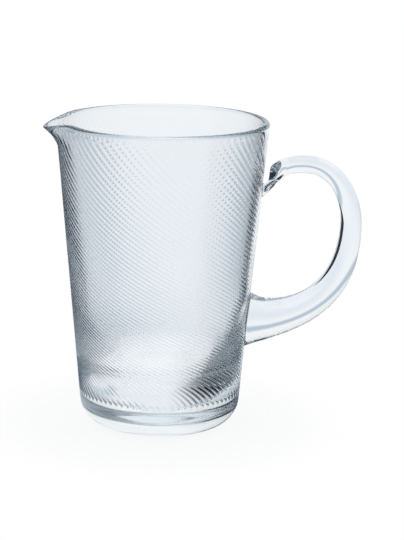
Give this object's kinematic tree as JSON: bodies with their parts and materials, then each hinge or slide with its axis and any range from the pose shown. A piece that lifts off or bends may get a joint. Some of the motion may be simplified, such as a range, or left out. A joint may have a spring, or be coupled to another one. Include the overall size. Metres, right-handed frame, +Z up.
{
  "type": "glass pitcher",
  "caption": "Tapered clear glass pitcher with fine twisted ribs, a thick rounded base, a pulled pouring lip and a solid drawn handle, for serving water and other drinks.",
  "frame": {"origin": "middle of the flat underside that the pitcher stands on", "axes": "+Z up along the body's axis, +X towards the handle, -X towards the pouring lip, +Y to the far side when the handle is on the right"},
  "size_m": [0.2109, 0.1396, 0.205],
  "materials": {
    "ribbed_glass": "clear soda-lime glass, outside finely ribbed in a left-hand twist, base and rim smooth and fire-polished",
    "clear_glass": "clear soda-lime glass, smooth and fire-polished"
  },
  "bodies": {
    "root": {"blown_body": "ribbed_glass", "drawn_handle": "clear_glass"}
  },
  "joints": []
}
